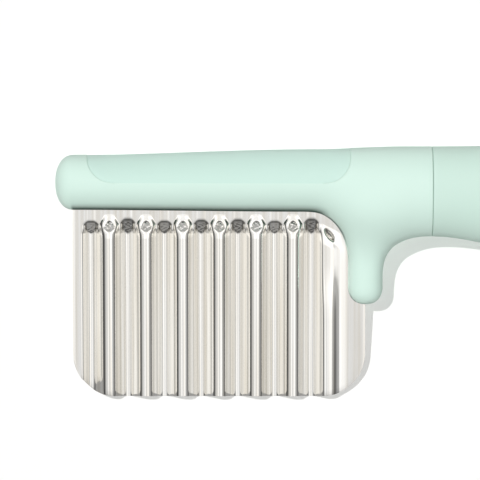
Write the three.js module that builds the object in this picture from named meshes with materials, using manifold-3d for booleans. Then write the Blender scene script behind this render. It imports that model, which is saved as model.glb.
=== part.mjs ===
// A crinkle cutter: a fluted steel blade carried in a plastic head, with a soft press pad on its spine
// and a soft grip on a rigid core.
// Millimetres. While it is drawn, +X runs along the handle to its butt, +Y points to the back of the spine,
// the blade lies in the plane z = 0 and the head meets the grip at x = 0, on the handle's axis.
// At the end the tool is laid on its side on a table, +Z up, as it rests by itself.

import * as THREE from "three";
import { mergeVertices } from "three/addons/utils/BufferGeometryUtils.js";
import Module from "manifold-3d";

const wasm = await Module();
wasm.setup();

// Clearances
const FIT_GAP = 0.3; // between a piece and its seat
const SEAM_GAP = 0.4; // the groove between head and grip

// Blade
const BLADE_LENGTH = 88;
const BLADE_SHEET = 0.8;
const EDGE_REACH = 62.5; // from the handle's axis down to the cutting edge
const EDGE_THICKNESS = 0.15;
const GRIND_HEIGHT = 2.2; // the bevel ground on the back of the cutting edge
const BLADE_CORNER = 13;
const BLADE_BORDER = 2.8; // the flat margin at the tip end
const BLADE_STRIP = 8; // the flat margin at the claw end, half of it inside the claw

// Flutes, the waves of the blade
const FLUTE_PITCH = 11.03;
const FLUTE_DEPTH = 4.6; // from valley to ridge, at the middle of the sheet
const FLUTE_FULLNESS = 0.5; // 0 gives a plain cosine wave and 1 a flat crest
const FLUTE_FOOT = 0.8; // the width of the bend at a flute's closed end
const FLUTE_MARGIN = 0.7; // flat sheet between the spine and the closed ends
const LAST_FLUTE_DROP = 2.9; // the last ridge stops lower, clear of the shoulder

// The flange of the blade inside the spine, and its holes that the carrier fills
const FLANGE_LIFT = 1.1; // above the spine's middle
const FLANGE_CORNER = 4;
const ANCHOR_HOLE = 4;
const ANCHOR_INSET = 3.3; // from the flange's top to a hole's middle
const ANCHOR_SPACING = 14;

// Oval sections of the spine and the handle: height along Y, thickness along Z, and the rise of the middle
const TIP_OVERHANG = 5.1; // the spine's end past the blade
const TIP_ROUND = 5.4;
const TIP_HEIGHT = 16.4;
const TIP_THICKNESS = 15.6;
const TIP_RISE = 2.75;
const SHOULDER_LEAD = 15; // from the claw's middle back to where the spine starts to widen
const SHOULDER_HEIGHT = 18.9;
const SHOULDER_THICKNESS = 17.4;
const SHOULDER_RISE = 3.4;
const SEAM_HEIGHT = 27;
const SEAM_THICKNESS = 22.8;
const NECK_LENGTH = 8; // from the end of the widening to the seam
const BELLY_AT = 40; // the fullest place of the grip, from the seam
const BELLY_HEIGHT = 33.8;
const BELLY_THICKNESS = 23.2;
const BELLY_RISE = -3;
const GRIP_LENGTH = 112;
const BUTT_HEIGHT = 25;
const BUTT_THICKNESS = 20;
const BUTT_RISE = -0.6;
const BUTT_ROUND = 15;
const BUTT_FLAT = 0.5; // how much of the round butt is cut away flat
const OVAL_POWER = 2.2; // 2 is an ellipse, and more is squarer

// Claw, the finger of the head that holds the blade's end
const CLAW_SETBACK = 19.9; // its middle, from the seam
const CLAW_WIDTH = 10.4;
const CLAW_THICKNESS = 11.2;
const CLAW_REACH = 34.2; // from the handle's axis down to its round tip
const CLAW_ROOT = 9; // its upper end inside the head, below the handle's axis
const CLAW_FILLET = 13.5; // how far its root spreads into the shoulder

// Press pad on the upper half of the spine
const PAD_START = 9.6; // from the tip
const PAD_SETBACK = 24.6; // its other end, from the seam
const PAD_LIFT = 0.3; // its lower edge, above the spine's middle
const PAD_CORNER = 8;
const PAD_THICKNESS = 1.7;
const PAD_POWER = 1.75; // under 2, so its flanks are flatter than the spine's

// Walls, tang and grip
const SHELL_WALL = 3.2;
const SLEEVE_WALL = 3.5;
const TANG_HEIGHT = 12;
const TANG_THICKNESS = 9;
const TANG_CORNER = 2;
const TANG_LENGTH = 48; // past the seam
const TANG_ROOT = 12; // inside the carrier
const BARB_HEIGHT = 1.2; // the catch that locks the tang in the core
const BARB_LENGTH = 6;
const BARB_SETBACK = 10; // from the tang's end
const CORE_LENGTH = 78;
const HANG_HOLE_LENGTH = 16;
const HANG_HOLE_WIDTH = 10;
const HANG_HOLE_SETBACK = 17; // its middle, from the butt

// Fineness of the meshes
const FINE_STEP = 2.8; // across the outer skins
const COARSE_STEP = 4; // across the hidden skins
const LONG_STEP = 9; // along the straight stretches
const TIP_STEP = 1.6; // along the rounded tip
const FLUTE_COLUMNS = 4; // in each half wave
const FLUTE_ROW = 1.1; // across the closed ends
const CURVE_SEGMENTS = 12;
const CLEAR = 2; // how far a cutting tool runs past what it cuts

// Places that follow from the sizes
const CLAW_X = -CLAW_SETBACK;
const BLADE_END_X = CLAW_X;
const BLADE_START_X = BLADE_END_X - BLADE_LENGTH;
const TIP_X = BLADE_START_X - TIP_OVERHANG;
const SHOULDER_X = CLAW_X - SHOULDER_LEAD;
const FLANGE_TOP = SHOULDER_RISE + FLANGE_LIFT;
const SPINE_UNDERSIDE = SHOULDER_RISE - SHOULDER_HEIGHT / 2;
const HALF_WAVE = FLUTE_PITCH / 2;
const FLUTE_SPAN = BLADE_LENGTH - BLADE_BORDER - BLADE_STRIP;
const FLUTE_COUNT = 2 * Math.floor(FLUTE_SPAN / FLUTE_PITCH + 0.05);
const FIRST_FLUTE_X = BLADE_START_X + BLADE_BORDER + HALF_WAVE / 2;
const FLUTE_END_Y = SPINE_UNDERSIDE - FLUTE_MARGIN - HALF_WAVE / 2 - FLUTE_FOOT;
const HANG_HOLE_X = GRIP_LENGTH - HANG_HOLE_SETBACK;

const STATIONS = [
  { x: TIP_X, height: TIP_HEIGHT, thickness: TIP_THICKNESS, rise: TIP_RISE },
  { x: SHOULDER_X, height: SHOULDER_HEIGHT, thickness: SHOULDER_THICKNESS, rise: SHOULDER_RISE },
  { x: -NECK_LENGTH, height: SEAM_HEIGHT, thickness: SEAM_THICKNESS, rise: 0 },
  { x: 0, height: SEAM_HEIGHT, thickness: SEAM_THICKNESS, rise: 0 },
  { x: BELLY_AT, height: BELLY_HEIGHT, thickness: BELLY_THICKNESS, rise: BELLY_RISE },
  { x: GRIP_LENGTH, height: BUTT_HEIGHT, thickness: BUTT_THICKNESS, rise: BUTT_RISE },
];

// Solids

function solidOf(geometry) {
  const bare = new THREE.BufferGeometry().setAttribute("position", geometry.getAttribute("position"));
  bare.setIndex(geometry.getIndex());
  const merged = mergeVertices(bare);
  return new wasm.Manifold(
    new wasm.Mesh({
      numProp: 3,
      vertProperties: new Float32Array(merged.getAttribute("position").array),
      triVerts: new Uint32Array(merged.getIndex().array),
    }),
  );
}

function geometryOf(solid) {
  const { vertProperties, triVerts } = solid.getMesh();
  const geometry = new THREE.BufferGeometry();
  geometry.setAttribute("position", new THREE.BufferAttribute(new Float32Array(vertProperties), 3));
  geometry.setIndex(new THREE.BufferAttribute(new Uint32Array(triVerts), 1));
  geometry.computeVertexNormals();
  return geometry;
}

function boxBetween(low, high) {
  const size = new THREE.Vector3().subVectors(high, low);
  const middle = new THREE.Vector3().addVectors(low, high).multiplyScalar(0.5);
  return solidOf(new THREE.BoxGeometry(...size).translate(...middle));
}

// A flat outline in the XY plane, made as thick as it says about z = 0.
function plateOf(shape, thickness) {
  const geometry = new THREE.ExtrudeGeometry(shape, {
    depth: thickness,
    bevelEnabled: false,
    curveSegments: CURVE_SEGMENTS,
  });
  return solidOf(geometry.translate(0, 0, -thickness / 2));
}

// A bar along X with rounded long edges, about the handle's axis.
function barAlongX(height, thickness, corner, fromX, toX) {
  const [y, z] = [height / 2, thickness / 2];
  const shape = new THREE.Shape();
  shape.absarc(y - corner, z - corner, corner, 0, Math.PI / 2);
  shape.absarc(corner - y, z - corner, corner, Math.PI / 2, Math.PI);
  shape.absarc(corner - y, corner - z, corner, Math.PI, 1.5 * Math.PI);
  shape.absarc(y - corner, corner - z, corner, 1.5 * Math.PI, 2 * Math.PI);
  const geometry = new THREE.ExtrudeGeometry(shape, {
    depth: toX - fromX,
    bevelEnabled: false,
    curveSegments: CURVE_SEGMENTS / 3,
  });
  const outlineToYZ = new THREE.Matrix4().set(0, 0, 1, fromX, 1, 0, 0, 0, 0, 1, 0, 0, 0, 0, 0, 1);
  return solidOf(geometry.applyMatrix4(outlineToYZ));
}

// Skins of rounded bodies: a field is about the distance from a point to the surface, and negative inside

function sectionAt(x) {
  const next = Math.max(1, STATIONS.slice(0, -1).filter((station) => station.x < x).length);
  const [a, b] = [STATIONS[next - 1], STATIONS[next]];
  const t = THREE.MathUtils.smoothstep(x, a.x, b.x);
  return {
    rise: THREE.MathUtils.lerp(a.rise, b.rise, t),
    halfHeight: THREE.MathUtils.lerp(a.height, b.height, t) / 2,
    halfThickness: THREE.MathUtils.lerp(a.thickness, b.thickness, t) / 2,
  };
}

// The distance to a rounded body with the given half sizes, from a point at the given offsets along each.
function ovalDistance(offsets, halfSizes, power) {
  const shares = offsets.map((offset, i) => Math.abs(offset) / halfSizes[i]);
  const radius = shares.reduce((sum, share) => sum + share ** power, 0) ** (1 / power) || Number.EPSILON;
  const slopes = shares.map((share, i) => (share / radius) ** (power - 1) / halfSizes[i]);
  return (radius - 1) / Math.hypot(...slopes);
}

function bodyField(x, y, z, power = OVAL_POWER) {
  const { rise, halfHeight, halfThickness } = sectionAt(x);
  const pastTip = Math.max(0, TIP_X + TIP_ROUND - x);
  const pastButt = Math.max(0, x - (GRIP_LENGTH - BUTT_ROUND));
  const endRound = pastTip > 0 ? TIP_ROUND : BUTT_ROUND;
  return ovalDistance([y - rise, z, pastTip + pastButt], [halfHeight, halfThickness, endRound], power);
}

function clawField(x, y, z) {
  const round = CLAW_WIDTH / 2;
  const pastTip = Math.max(0, round - CLAW_REACH - y);
  const pastRoot = Math.max(0, y + CLAW_ROOT);
  return ovalDistance(
    [x - CLAW_X, z, pastTip + pastRoot],
    [round, CLAW_THICKNESS / 2, round],
    OVAL_POWER,
  );
}

// The claw and the body flow into each other over the width of the fillet.
function headField(x, y, z) {
  const [body, claw] = [bodyField(x, y, z), clawField(x, y, z)];
  const overlap = Math.max(CLAW_FILLET - Math.abs(body - claw), 0) / CLAW_FILLET;
  return Math.min(body, claw) - (overlap * overlap * CLAW_FILLET) / 4;
}

function planesBetween(low, high, step) {
  const count = Math.ceil((high - low) / step);
  return Array.from({ length: count }, (_, i) => low + ((high - low) * i) / count);
}

// Lattice planes round the head: close together at the tip and the claw, and far apart along the spine.
function headLattice(step) {
  const halfHeight = Math.max(SEAM_HEIGHT, SHOULDER_HEIGHT) / 2 + SHOULDER_RISE + 1;
  const halfDepth = SEAM_THICKNESS / 2 + 1;
  const clawStart = SHOULDER_X - 1;
  return [
    [
      ...planesBetween(TIP_X - 1, TIP_X + TIP_ROUND, TIP_STEP * (step / FINE_STEP)),
      ...planesBetween(TIP_X + TIP_ROUND, clawStart, LONG_STEP),
      ...planesBetween(clawStart, 3 * step, step),
    ],
    planesBetween(-CLAW_REACH - step, halfHeight + step, step),
    planesBetween(-halfDepth - step, halfDepth + step, step),
  ];
}

function gripLattice(step) {
  const low = BELLY_RISE - BELLY_HEIGHT / 2 - step;
  const high = Math.max(SEAM_HEIGHT, BELLY_HEIGHT) / 2 + step;
  const halfDepth = BELLY_THICKNESS / 2 + step;
  return [
    [
      ...planesBetween(-2 * step, GRIP_LENGTH - BUTT_ROUND, LONG_STEP),
      ...planesBetween(GRIP_LENGTH - BUTT_ROUND, GRIP_LENGTH + 2 * step, step),
    ],
    planesBetween(low, high, step),
    planesBetween(-halfDepth, halfDepth, step),
  ];
}

// The point where the field is zero, reached from a point close to it.
function pulledOnto(field, point) {
  const small = 0.01;
  for (let turn = 0; turn < 4; turn++) {
    const value = field(...point);
    const slope = point.map((_, axis) => {
      const ahead = point.map((c, i) => (i === axis ? c + small : c));
      return (field(...ahead) - value) / small;
    });
    const steep = slope.reduce((sum, s) => sum + s * s, 0) || 1;
    point = point.map((c, i) => c - (value * slope[i]) / steep);
  }
  return point;
}

// A closed skin where the field is zero: one vertex in each lattice cell that the surface crosses,
// and one quad round each lattice edge that it crosses. A shrunk skin has the same faces, further in.
function skinOf(field, lattice, shrink) {
  const counts = lattice.map((planes) => planes.length);
  const placeOf = (node) => node.map((n, axis) => lattice[axis][n]);
  const keyOf = (node) => (node[0] * counts[1] + node[1]) * counts[2] + node[2];
  const values = new Float64Array(counts[0] * counts[1] * counts[2]);
  const nodes = [];
  for (let i = 0; i < counts[0]; i++) {
    for (let j = 0; j < counts[1]; j++) {
      for (let k = 0; k < counts[2]; k++) {
        nodes.push([i, j, k]);
      }
    }
  }
  for (const node of nodes) {
    values[keyOf(node)] = field(...placeOf(node));
  }

  const crossings = new Map();
  const quads = [];
  for (const node of nodes) {
    for (let axis = 0; axis < 3; axis++) {
      const next = node.map((n, i) => (i === axis ? n + 1 : n));
      if (next[axis] >= counts[axis]) continue;
      const [here, there] = [values[keyOf(node)], values[keyOf(next)]];
      if (here < 0 === there < 0) continue;
      const share = here / (here - there);
      const [start, end] = [placeOf(node), placeOf(next)];
      const crossing = start.map((c, i) => c + (end[i] - c) * share);
      const [second, third] = [(axis + 1) % 3, (axis + 2) % 3];
      const cells = [[1, 1], [0, 1], [0, 0], [1, 0]].map(([back, down]) => {
        const cell = [...node];
        cell[second] -= back;
        cell[third] -= down;
        const key = keyOf(cell);
        if (!crossings.has(key)) crossings.set(key, []);
        crossings.get(key).push(crossing);
        return key;
      });
      quads.push(here < 0 ? cells : cells.reverse());
    }
  }

  const points = [];
  const numberOf = new Map();
  for (const [key, list] of crossings) {
    const middle = [0, 1, 2].map((axis) => list.reduce((sum, p) => sum + p[axis], 0) / list.length);
    numberOf.set(key, points.length);
    points.push(pulledOnto((x, y, z) => field(x, y, z) + shrink, middle));
  }
  const apart = (a, b) => Math.hypot(...points[a].map((c, i) => c - points[b][i]));
  const triangles = quads.flatMap((quad) => {
    const [a, b, c, d] = quad.map((key) => numberOf.get(key));
    return apart(a, c) < apart(b, d) ? [a, b, c, a, c, d] : [a, b, d, b, c, d];
  });
  const geometry = new THREE.BufferGeometry();
  geometry.setAttribute("position", new THREE.Float32BufferAttribute(points.flat(), 3));
  geometry.setIndex(triangles);
  return solidOf(geometry);
}

// Everything between two planes across X.
function slab(fromX, toX) {
  const far = EDGE_REACH + GRIP_LENGTH;
  return boxBetween(new THREE.Vector3(fromX, -far, -far), new THREE.Vector3(toX, far, far));
}

const headSide = slab(TIP_X - CLEAR, -SEAM_GAP / 2);

// The skins of the head and of the grip, each closed by a plane a little past the seam.
function headSkin(inset, step, shrink = 0, field = headField) {
  return skinOf((x, y, z) => Math.max(field(x, y, z) + inset, x - step / 2), headLattice(step), shrink);
}

function gripSkin(inset, step, shrink = 0) {
  return skinOf((x, y, z) => Math.max(bodyField(x, y, z) + inset, -step / 2 - x), gripLattice(step), shrink);
}

// Blade

// The height of a single flute at a distance from its crest line: a full crest, a flank and a rounded foot.
function fluteProfile(distance) {
  const crest = (share) => {
    const wave = Math.cos((share * Math.PI) / 2);
    return THREE.MathUtils.lerp(wave, Math.sin((wave * Math.PI) / 2), FLUTE_FULLNESS);
  };
  const share = distance / (HALF_WAVE / 2);
  const footStart = 1 - FLUTE_FOOT / (HALF_WAVE / 2);
  if (share < footStart) return crest(share);
  const small = 1e-3;
  const fall = (crest(footStart - small) - crest(footStart)) / small;
  const footLength = (2 * crest(footStart)) / fall;
  const left = Math.max(0, 1 - (share - footStart) / footLength);
  return crest(footStart) * left * left;
}

// The middle of the sheet: valleys and ridges take turns, each with a round closed end below the spine.
function fluteHeight(x, y) {
  let height = 0;
  for (let i = 0; i < FLUTE_COUNT; i++) {
    const across = x - (FIRST_FLUTE_X + i * HALF_WAVE);
    const endY = FLUTE_END_Y - (i === FLUTE_COUNT - 1 ? LAST_FLUTE_DROP : 0);
    const distance = Math.hypot(across, Math.max(0, y - endY));
    height += (i % 2 ? 1 : -1) * fluteProfile(distance);
  }
  return (height * FLUTE_DEPTH) / 2;
}

// The point of the sheet at a signed distance from its middle, square to it.
function sheetPoint(x, y, offset) {
  const small = 0.01;
  const slopeX = (fluteHeight(x + small, y) - fluteHeight(x - small, y)) / (2 * small);
  const slopeY = (fluteHeight(x, y + small) - fluteHeight(x, y - small)) / (2 * small);
  const step = new THREE.Vector3(-slopeX, -slopeY, 1).normalize().multiplyScalar(offset);
  return [x + step.x, y + step.y, fluteHeight(x, y) + step.z];
}

function bladeSheet() {
  const wavesStart = FIRST_FLUTE_X - HALF_WAVE / 2;
  const wavesEnd = wavesStart + FLUTE_COUNT * HALF_WAVE;
  const columns = [
    BLADE_START_X - CLEAR,
    wavesStart - 1.5 * FLUTE_FOOT,
    ...planesBetween(wavesStart, wavesEnd, HALF_WAVE / FLUTE_COLUMNS),
    wavesEnd,
    wavesEnd + 1.5 * FLUTE_FOOT,
    BLADE_END_X + CLEAR,
  ];
  const endsTop = SPINE_UNDERSIDE - FLUTE_MARGIN;
  const rows = [
    -EDGE_REACH - CLEAR,
    -EDGE_REACH,
    -EDGE_REACH + GRIND_HEIGHT,
    ...planesBetween(FLUTE_END_Y - LAST_FLUTE_DROP, endsTop, FLUTE_ROW),
    endsTop,
    FLANGE_TOP + CLEAR,
  ];
  const points = [];
  const faces = [];
  const number = (column, row, back) => (column * rows.length + row) * 2 + back;
  columns.forEach((x) =>
    rows.forEach((y, row) => {
      const thickness = row < 2 ? EDGE_THICKNESS : BLADE_SHEET;
      points.push(...sheetPoint(x, y, BLADE_SHEET / 2));
      points.push(...sheetPoint(x, y, BLADE_SHEET / 2 - thickness));
    }),
  );
  const quad = (a, b, c, d) => faces.push(a, b, c, a, c, d);
  for (let column = 0; column < columns.length - 1; column++) {
    for (let row = 0; row < rows.length - 1; row++) {
      const corners = [[0, 0], [1, 0], [1, 1], [0, 1]];
      quad(...corners.map(([right, up]) => number(column + right, row + up, 0)));
      quad(...corners.reverse().map(([right, up]) => number(column + right, row + up, 1)));
    }
    const last = rows.length - 1;
    const [here, next] = [column, column + 1];
    quad(number(here, 0, 1), number(next, 0, 1), number(next, 0, 0), number(here, 0, 0));
    quad(number(here, last, 0), number(next, last, 0), number(next, last, 1), number(here, last, 1));
  }
  for (let row = 0; row < rows.length - 1; row++) {
    const last = columns.length - 1;
    quad(number(0, row, 1), number(0, row, 0), number(0, row + 1, 0), number(0, row + 1, 1));
    quad(number(last, row, 0), number(last, row, 1), number(last, row + 1, 1), number(last, row + 1, 0));
  }
  const geometry = new THREE.BufferGeometry();
  geometry.setAttribute("position", new THREE.Float32BufferAttribute(points, 3));
  geometry.setIndex(faces);
  return solidOf(geometry);
}

// The blade's outline with its anchor holes, grown on every side by a clearance.
function bladeOutline(grow = 0) {
  const [left, right] = [BLADE_START_X - grow, BLADE_END_X + grow];
  const [bottom, top] = [-EDGE_REACH - grow, FLANGE_TOP + grow];
  const [corner, flangeCorner] = [BLADE_CORNER + grow, FLANGE_CORNER + grow];
  const shape = new THREE.Shape();
  shape.absarc(left + corner, bottom + corner, corner, Math.PI, 1.5 * Math.PI);
  shape.absarc(right - corner, bottom + corner, corner, 1.5 * Math.PI, 2 * Math.PI);
  shape.absarc(right - flangeCorner, top - flangeCorner, flangeCorner, 0, Math.PI / 2);
  shape.absarc(left + flangeCorner, top - flangeCorner, flangeCorner, Math.PI / 2, Math.PI);
  const count = Math.floor((BLADE_LENGTH - 2 * FLANGE_CORNER) / ANCHOR_SPACING);
  const firstHole = (BLADE_START_X + BLADE_END_X - (count - 1) * ANCHOR_SPACING) / 2;
  for (let i = 0; i < count; i++) {
    const [x, y] = [firstHole + i * ANCHOR_SPACING, FLANGE_TOP - ANCHOR_INSET];
    const hole = new THREE.Path();
    hole.absarc(x, y, ANCHOR_HOLE / 2 - grow, 0, 2 * Math.PI);
    shape.holes.push(hole);
  }
  return shape;
}

function blade() {
  return bladeSheet().intersect(plateOf(bladeOutline(), 2 * FLUTE_DEPTH));
}

function bladeSlot() {
  return plateOf(bladeOutline(FIT_GAP), BLADE_SHEET + 2 * FIT_GAP);
}

// Head

// The pad's outline seen from the side, open at the top of the spine, grown by a clearance.
function padPlate(grow) {
  const [left, right] = [TIP_X + PAD_START - grow, -PAD_SETBACK + grow];
  const bottom = SHOULDER_RISE + PAD_LIFT - grow;
  const top = SEAM_HEIGHT;
  const corner = PAD_CORNER + grow;
  const shape = new THREE.Shape();
  shape.moveTo(left, top);
  shape.absarc(left + corner, bottom + corner, corner, Math.PI, 1.5 * Math.PI);
  shape.absarc(right - corner, bottom + corner, corner, 1.5 * Math.PI, 2 * Math.PI);
  shape.lineTo(right, top);
  return plateOf(shape, 2 * SEAM_THICKNESS);
}

function pressPad() {
  const outer = headSkin(0, FINE_STEP, 0, (x, y, z) => bodyField(x, y, z, PAD_POWER));
  return outer.intersect(padPlate(0)).subtract(headSkin(PAD_THICKNESS, FINE_STEP));
}

function headShell() {
  const pocket = padPlate(FIT_GAP).subtract(headSkin(PAD_THICKNESS, FINE_STEP, FIT_GAP));
  return headSkin(0, FINE_STEP)
    .intersect(headSide)
    .subtract(headSkin(SHELL_WALL, COARSE_STEP))
    .subtract(pocket)
    .subtract(bladeSlot());
}

// The tang with its two catches, grown by a clearance for the socket that takes it.
function tang(grow) {
  const end = TANG_LENGTH + grow;
  const bar = barAlongX(TANG_HEIGHT + 2 * grow, TANG_THICKNESS + 2 * grow, TANG_CORNER, -TANG_ROOT, end);
  const catchEnd = TANG_LENGTH - BARB_SETBACK + grow;
  const catchStart = catchEnd - BARB_LENGTH - 2 * grow;
  const reach = TANG_HEIGHT / 2 + BARB_HEIGHT + grow;
  const catches = new THREE.Shape([
    new THREE.Vector2(catchStart, reach),
    new THREE.Vector2(catchStart, -reach),
    new THREE.Vector2(catchEnd, -TANG_HEIGHT / 2),
    new THREE.Vector2(catchEnd, TANG_HEIGHT / 2),
  ]);
  return bar.add(plateOf(catches, TANG_THICKNESS - 2 * TANG_CORNER + 2 * grow));
}

function bladeCarrier() {
  return headSkin(SHELL_WALL, COARSE_STEP, FIT_GAP)
    .intersect(headSide)
    .add(tang(0))
    .subtract(bladeSlot());
}

// Handle

function handleCore() {
  return gripSkin(SLEEVE_WALL, COARSE_STEP, FIT_GAP)
    .intersect(slab(SEAM_GAP / 2, CORE_LENGTH))
    .subtract(tang(FIT_GAP));
}

function hangHole() {
  const round = HANG_HOLE_WIDTH / 2;
  const straight = HANG_HOLE_LENGTH / 2 - round;
  const middleY = sectionAt(HANG_HOLE_X).rise;
  const shape = new THREE.Shape();
  shape.absarc(HANG_HOLE_X + straight, middleY, round, -Math.PI / 2, Math.PI / 2);
  shape.absarc(HANG_HOLE_X - straight, middleY, round, Math.PI / 2, 1.5 * Math.PI);
  return plateOf(shape, BUTT_THICKNESS + BELLY_THICKNESS);
}

function gripSleeve() {
  const hollow = gripSkin(SLEEVE_WALL, COARSE_STEP).intersect(slab(-CLEAR, CORE_LENGTH + FIT_GAP));
  return gripSkin(0, FINE_STEP)
    .intersect(slab(SEAM_GAP / 2, GRIP_LENGTH - BUTT_FLAT))
    .subtract(hollow)
    .subtract(hangHole());
}

// The assembly

const STEEL = { color: 0xd9d7d2, roughness: 0.18, metalness: 1 };
const MINT_SHELL = { color: 0xd3ece2, roughness: 0.4, metalness: 0 };
const MINT_SOFT = { color: 0xcbe6d9, roughness: 0.6, metalness: 0 };
const RIGID_INNER = { color: 0xe6e8e4, roughness: 0.5, metalness: 0 };

function piece(name, solid, finish) {
  const mesh = new THREE.Mesh(geometryOf(solid), new THREE.MeshStandardMaterial(finish));
  mesh.name = name;
  return mesh;
}

const bladePiece = piece("blade", blade(), STEEL);
const gripPiece = piece("grip_sleeve", gripSleeve(), MINT_SOFT);
const tool = new THREE.Group();
tool.add(
  bladePiece,
  piece("blade_carrier", bladeCarrier(), RIGID_INNER),
  piece("head_shell", headShell(), MINT_SHELL),
  piece("press_pad", pressPad(), MINT_SOFT),
  piece("handle_core", handleCore(), RIGID_INNER),
  gripPiece,
);

// How far the lowest vertex lies under the axis once the piece is turned about X.
function lowestAt(mesh, angle) {
  const turned = mesh.geometry.getAttribute("position").clone();
  turned.applyMatrix4(new THREE.Matrix4().makeRotationX(angle));
  return new THREE.Box3().setFromBufferAttribute(turned).min.z;
}

// The turn at which the grip and the cutting edge touch the table together.
function restTilt() {
  let [low, high] = [0, Math.PI / 4];
  for (let turn = 0; turn < 40; turn++) {
    const middle = (low + high) / 2;
    const gripFirst = lowestAt(bladePiece, middle) > lowestAt(gripPiece, middle);
    [low, high] = gripFirst ? [middle, high] : [low, middle];
  }
  return (low + high) / 2;
}

tool.rotation.x = restTilt();
const cutter = new THREE.Group();
cutter.add(tool);
cutter.updateMatrixWorld(true);
const box = new THREE.Box3().setFromObject(tool, true);
const middle = box.getCenter(new THREE.Vector3());
tool.position.set(-middle.x, -middle.y, -box.min.z);

export default cutter;
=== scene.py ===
"""The looks of a crinkle cutter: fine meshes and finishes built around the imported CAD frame.

While a piece is shaped, lengths are millimetres in the tool's own frame: X along the handle to its
butt, Y to the back of the spine, Z out of the blade, with the seam of head and grip at x = 0. The
finished piece is then laid on the table, in metres, where the CAD has it.
"""

from __future__ import annotations

import logging
import math
from dataclasses import dataclass, field
from enum import Enum
from typing import Any, Callable

import bmesh
import bpy
import numpy as np
from bmesh.types import BMEdge, BMesh, BMFace, BMVert
from bpy.types import Material, Node, NodeSocket, NodeTree
from mathutils import Matrix, Vector


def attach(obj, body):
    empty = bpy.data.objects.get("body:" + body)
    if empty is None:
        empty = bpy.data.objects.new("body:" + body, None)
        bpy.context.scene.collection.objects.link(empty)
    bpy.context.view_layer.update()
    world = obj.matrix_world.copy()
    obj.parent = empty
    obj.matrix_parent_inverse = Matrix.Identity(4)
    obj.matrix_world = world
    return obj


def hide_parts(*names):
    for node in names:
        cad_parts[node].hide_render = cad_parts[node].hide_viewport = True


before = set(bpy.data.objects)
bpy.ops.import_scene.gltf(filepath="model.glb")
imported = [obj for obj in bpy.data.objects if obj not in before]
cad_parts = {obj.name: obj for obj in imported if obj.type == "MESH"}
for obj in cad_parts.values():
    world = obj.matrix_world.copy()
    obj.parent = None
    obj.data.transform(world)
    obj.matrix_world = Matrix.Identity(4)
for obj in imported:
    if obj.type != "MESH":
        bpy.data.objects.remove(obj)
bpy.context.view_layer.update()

log = logging.getLogger("crinkle_cutter")

Field = Callable[[np.ndarray], np.ndarray]
Placing = Callable[[np.ndarray, np.ndarray], np.ndarray]
Slopes = tuple[tuple[float, float], ...]
Span = tuple[float, float]
Triple = tuple[float, float, float]

MM = 0.001
TINY = 1e-6
# The mesh attribute that carries the painted shade where the blade goes into the head.
PAINTED_SHADE = "painted_joint_shade"

# In millimetres: the step over which slopes are measured, and how near the seam its rims lie.
SLOPE_STEP = 0.01
NEAR_SEAM = 1.0


class Slot(Enum):
    """Names for material slots, which nothing in this script uses."""

    STEEL = "steel"
    SHELL = "mint_shell"
    SOFT = "mint_soft"


# Mesh tools


def settle(points: np.ndarray, surface: Field, rounds: int = 8, least_slope: float = 0.05) -> np.ndarray:
    """Moves points onto the surface where a field is zero, square to it.

    Args:
        points: The points, one in each row.
        surface: About the signed distance of each point, negative inside.
        rounds: How often the step is taken.
        least_slope: The least squared slope that a step is taken for.

    Returns:
        The moved points.
    """
    for _ in range(rounds):
        value = surface(points)
        moved = [surface(points + SLOPE_STEP * axis) for axis in np.eye(3)]
        slope = np.stack([(there - value) / SLOPE_STEP for there in moved], axis=-1)
        steepness = np.maximum((slope**2).sum(axis=1), least_slope)
        points = points - slope * (value / steepness)[:, None]
    return points


def settle_mesh(mesh: BMesh, surface: Field, chosen: Callable[[Vector], bool]) -> None:
    """Moves the chosen vertices of a mesh onto a surface.

    Args:
        mesh: The mesh.
        surface: The surface's field.
        chosen: Tells from a vertex's place whether it moves.
    """
    verts = [vert for vert in mesh.verts if chosen(vert.co)]
    places = settle(np.array([vert.co[:] for vert in verts]), surface)
    for vert, place in zip(verts, places):
        vert.co = place


def smooth(mesh: BMesh, verts: list[BMVert]) -> None:
    """Draws vertices half-way to the middle of their neighbours."""
    bmesh.ops.smooth_vert(mesh, verts=verts, factor=0.5, use_axis_x=True, use_axis_y=True, use_axis_z=True)


def ring_places(stops: list[float], counts: tuple[int, ...]) -> np.ndarray:
    """Divides a line into stretches of evenly placed rings.

    Args:
        stops: Where the stretches start and end.
        counts: How many rings each stretch has, with both its ends.

    Returns:
        The rings' places, without the last stop.
    """
    stretches = zip(stops, stops[1:], counts)
    return np.concatenate([np.linspace(start, stop, count)[:-1] for start, stop, count in stretches])


def nearest(rings: np.ndarray, place: float) -> int:
    """Gives the number of the ring that is nearest to a place."""
    return int(np.argmin(np.abs(rings - place)))


def rolled_grid(rings: np.ndarray, shares: np.ndarray, place: Placing) -> BMesh:
    """Makes a skin from a grid whose long side follows the rings and whose short side goes round.

    Args:
        rings: The place of each ring along X.
        shares: Where each line along the skin is, as a share of the way round.
        place: Gives the points for arrays of ring places and shares.

    Returns:
        The mesh, not yet closed, with each face's ring and line kept in face layers.
    """
    mesh, half = bmesh.new(), 0.5
    across, around = len(rings) - 1, len(shares) - 1
    bmesh.ops.create_grid(mesh, x_segments=across, y_segments=around, size=half)
    ring_layer = mesh.faces.layers.int.new("ring")
    line_layer = mesh.faces.layers.int.new("line")
    for face in mesh.faces:
        middle = face.calc_center_median()
        face[ring_layer] = int((middle.x + half) * across)
        face[line_layer] = int((middle.y + half) * around)
    verts = list(mesh.verts)
    flat = np.array([vert.co[:2] for vert in verts]) + half
    ring_number = np.rint(flat[:, 0] * across).astype(int)
    line_number = np.rint(flat[:, 1] * around).astype(int)
    for vert, point in zip(verts, place(rings[ring_number], shares[line_number])):
        vert.co = point
    return mesh


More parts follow.
